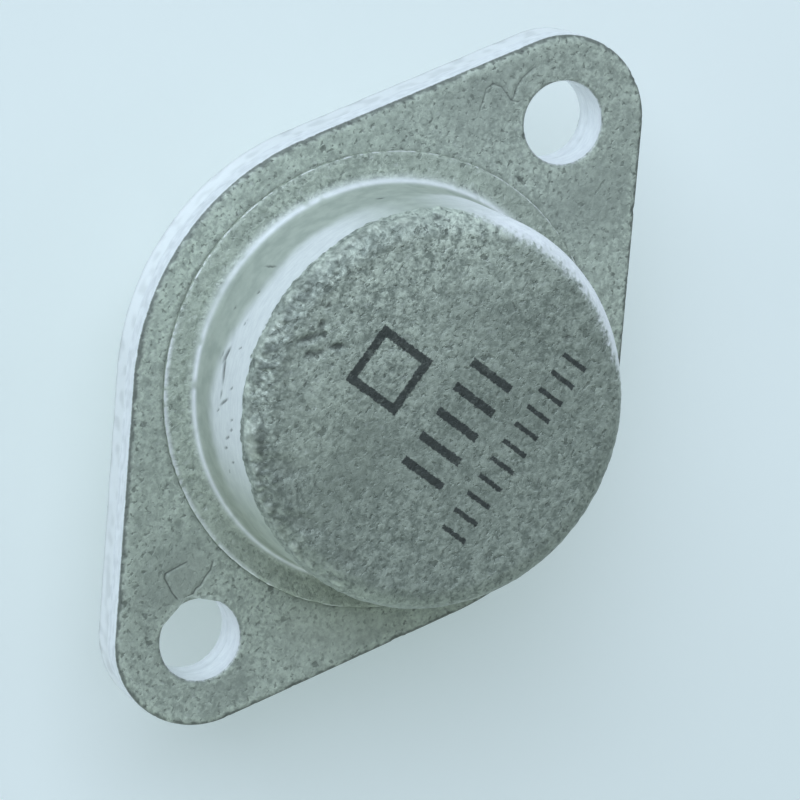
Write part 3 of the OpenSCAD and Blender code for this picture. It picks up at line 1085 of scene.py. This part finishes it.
def plated_material(name, light, dark, dull_and_shade_tone, speck, grain_scale, patchy, relief, seed, printed=False):
    """Tarnished mottled plating, with painted shade where so marked, which gives way to bright worked metal
    and painted highlights where so marked.
    """
    material, tree = new_material(name)
    where = tree.millimetres()
    shifted = tree.fill(tree.put("VectorMath", operation="ADD"), {0: where, 1: (seed, seed * 2, 0)})
    bare, dirt, clean, plain = tree.marks(("bare", "dirt", "clean", "plain"))
    torn, tarnish, calm = tree.marks(("torn", "tarnish", "calm"))
    smoothness = tree.highest(clean * 0.7, plain)

    # Mottling from patches of a millimetre down to a fine grain
    cloud = tree.noise(shifted, 0.3, 3)
    patch = tree.noise(shifted, 1.3)
    grain = tree.noise(shifted, grain_scale, 3, 0.65, 0.4)
    fine_grain = tree.noise(shifted, grain_scale * 2.1)
    rough_part = tree.between(tree.noise(shifted, 0.22), 0.4, 0.62, 0.55, 1.0)
    lively = (grain + fine_grain * 0.55 - 0.775) * rough_part
    tone = cloud * 0.2 + patch * patchy + (lively + (0.4 - patchy / 2))
    tone = tree.between(tone, 0.3, 0.7)
    skin = tree.mix(calm, tree.mix(tone, dark, light), tree.mix(tone, *CALM))

    # Dark specks, most of them small, some joined to short wrinkles, and pale flecks
    speckle = tree.noise(shifted, grain_scale * 1.25, 2, 0.5, 0.2)
    dots = tree.between(speckle + (patch - 0.5) * 0.2, 0.57, 0.7)
    cells = tree.put("TexVoronoi", Vector=shifted, Scale=1.1, Randomness=1.0)
    chance = tree.put("SeparateColor", Color=cells.outputs["Color"])
    reach = tree.between(chance, 0.45, 1.0, 0.0, 0.24)
    deep = tree.between(reach - ((grain - 0.5) * 0.5 + cells.outputs["Distance"]), 0.0, 0.1, 0.0, 0.75)
    wrinkle = abs(tree.noise(shifted, 1.6, 4, 0.6, 0.8) - 0.5)
    wrinkle = tree.between(wrinkle, 0.0, 0.02, 0.7, 0.0) * tree.between(speckle, 0.54, 0.62)
    blotch = tree.between(tree.noise(shifted, 1.9, 3, 0.6), 0.52, 0.68, 0.0, 0.3) * (1.0 - calm)
    pits = tree.highest(tree.highest(dots * 0.75, tree.highest(deep, wrinkle)), blotch)
    pits = pits * (1.0 - smoothness) * (1.0 - calm * 0.35)
    flecks = tree.between(tree.noise(shifted, grain_scale * 1.1), 0.62, 0.72) * (1.0 - smoothness)
    skin = tree.mix(pits * 0.68, skin, speck)
    skin = tree.mix(flecks * 0.25, skin, FLECK)
    skin = tree.mix(plain, skin, tree.mix(tree.between(patch, 0.3, 0.7), *QUIET))
    # Clean places are pale, and so are places painted lighter to lift the shade
    skin = tree.mix(clean * 0.72, skin, CLEAN_AND_LIT_TONE)
    # Tarnish darkens the skin, and so does painted shade
    skin = tree.mix(tarnish * 0.54, skin, dull_and_shade_tone)
    if printed:
        skin = tree.mix(ink_mask(tree, where) * 0.9, skin, INK)

    # Bright worked metal, which also paints highlights, with fine scratches drawn along the wall
    streak = tree.noise(tree.millimetres((1.5, 1.5, 5)), 1.0, 4, 0.6)
    scratch = tree.noise(tree.millimetres((4, 4, 26)), 1.0)
    bright = tree.mix(tree.between(streak, 0.35, 0.65), *BRIGHT)
    bright = tree.mix(tree.between(scratch, 0.6, 0.75) * 0.2, bright, SCRATCHED)
    bright = tree.mix(torn, bright, TORN)
    # The grain frays the edge between them, except where the skin is even
    even = tree.math("ADD", plain, calm, clamp=True)
    edge = bare * (1.0 - bare) * (1.0 - even) * (fine_grain * 12.0 - 6.0)
    colour = tree.mix(tree.math("ADD", bare, edge, clamp=True), skin, bright)
    # Dirt darkens the colour, and so does painted shade
    colour = tree.mix(dirt * 0.85, colour, DIRT_AND_SHADE_TONE)

    rough = tree.between(grain, 0.3, 0.7, 0.52, 0.62) - clean * 0.1 - bare * 0.06 + plain * 0.2
    height = (grain - pits * 0.5) * (1.0 - smoothness * 0.85) * (1.0 - bare * 0.8)
    bump = tree.put("Bump", Height=height, Strength=1.0, Distance=relief * MM)
    tree.surface(Base_Color=colour, Metallic=0.5, Roughness=rough, Normal=bump)
    return material


def simple_metal(name, light, dark, roughness, grain=2.0):
    material, tree = new_material(name)
    where = tree.millimetres()
    fine = tree.noise(where, grain * 2, 4, 0.6)
    tone = tree.noise(where, grain * 0.3, 3) * 0.5 + fine * 0.5
    colour = tree.mix(tree.between(tone, 0.38, 0.6), dark, light)
    rough = tree.between(fine, 0.3, 0.7, roughness - 0.06, roughness + 0.08)
    bump = tree.put("Bump", Height=fine, Strength=0.7, Distance=0.00001)
    tree.surface(Base_Color=colour, Metallic=1.0, Roughness=rough, Normal=bump)
    return material


def lead_material():
    """Dull nickel-iron wire with bright solder on its dipped end."""
    material, tree = new_material("tinned_lead")
    where = tree.millimetres((1, 1, 0.35))
    [tinned] = tree.marks(["tinned"])
    fine = tree.noise(where, 5, 4, 0.6)
    patches = tree.between(tree.noise(where, 0.9, 3), 0.35, 0.65)
    dull = tree.mix(patches, (0.42, 0.42, 0.38), (0.56, 0.56, 0.52))
    solder = tree.mix(patches, (0.62, 0.64, 0.65), (0.78, 0.8, 0.81))
    rough = tree.fill(tree.put("Mix", data_type="FLOAT"), {
        0: tinned,
        2: tree.between(fine, 0.3, 0.7, 0.38, 0.55),
        3: tree.between(fine, 0.3, 0.7, 0.2, 0.34),
    })
    bump = tree.put("Bump", Height=fine, Strength=0.6, Distance=0.000012)
    tree.surface(Base_Color=tree.mix(tinned, dull, solder), Metallic=1.0, Roughness=rough, Normal=bump)
    return material


def glass_material():
    """Dark green glass with small bubbles."""
    material, tree = new_material("sealing_glass")
    where = tree.millimetres()
    cloud = tree.noise(where, 1.2, 3)
    bubble = tree.between(tree.put("TexVoronoi", Vector=where, Scale=5.0), 0.12, 0.2, 1.0, 0.0)
    colour = tree.mix(tree.between(cloud, 0.35, 0.65), (0.03, 0.06, 0.05), (0.06, 0.12, 0.095))
    colour = tree.mix(bubble * 0.4, colour, (0.2, 0.3, 0.26))
    bump = tree.put("Bump", Height=cloud + bubble * 0.5, Strength=0.5, Distance=0.00002)
    rough = tree.between(cloud, 0.3, 0.7, 0.08, 0.2)
    tree.surface(Base_Color=colour, Metallic=0.0, Roughness=rough, Normal=bump, IOR=1.5)
    return material


def dress_inner_nodes():
    """Materials for the pieces that the can hides."""
    finishes = {
        "heat_spreader": simple_metal("copper_pad", (0.86, 0.5, 0.36), (0.66, 0.34, 0.22), 0.34),
        "spreader_braze": simple_metal("silver_braze", (0.86, 0.8, 0.66), (0.66, 0.58, 0.42), 0.4),
        "die_solder": simple_metal("soft_solder", (0.72, 0.73, 0.74), (0.5, 0.51, 0.52), 0.36),
        "die": simple_metal("patterned_silicon", (0.5, 0.53, 0.58), (0.3, 0.33, 0.38), 0.2, 6.0),
    }
    wire = simple_metal("aluminium_wire", (0.88, 0.89, 0.9), (0.74, 0.75, 0.77), 0.3, 8.0)
    for node in ("gate_wire", "drain_wire_1", "drain_wire_2"):
        finishes[node] = wire
    for node, material in finishes.items():
        slots = frame["nodes"][node].data.materials
        slots.clear()
        slots.append(material)


make_camera()
make_floor()
make_lights()
make_can(plated_material(
    "plated_can_skin", light=(0.755, 0.81, 0.71), dark=(0.3, 0.335, 0.295), dull_and_shade_tone=(0.2, 0.225, 0.195),
    speck=(0.03, 0.04, 0.035), grain_scale=2.9, patchy=0.24, relief=0.07, seed=3.0, printed=True,
))
make_base(plated_material(
    "plated_base_skin", light=(0.69, 0.745, 0.645), dark=(0.44, 0.48, 0.42), dull_and_shade_tone=(0.33, 0.36, 0.32),
    speck=(0.03, 0.035, 0.03), grain_scale=3.1, patchy=0.42, relief=0.035, seed=31.0,
))
lead = lead_material()
glass = glass_material()
for name, side in (("gate", 1), ("drain", -1)):
    make_lead(name, side, lead)
    make_glass(name, side, glass)
dress_inner_nodes()
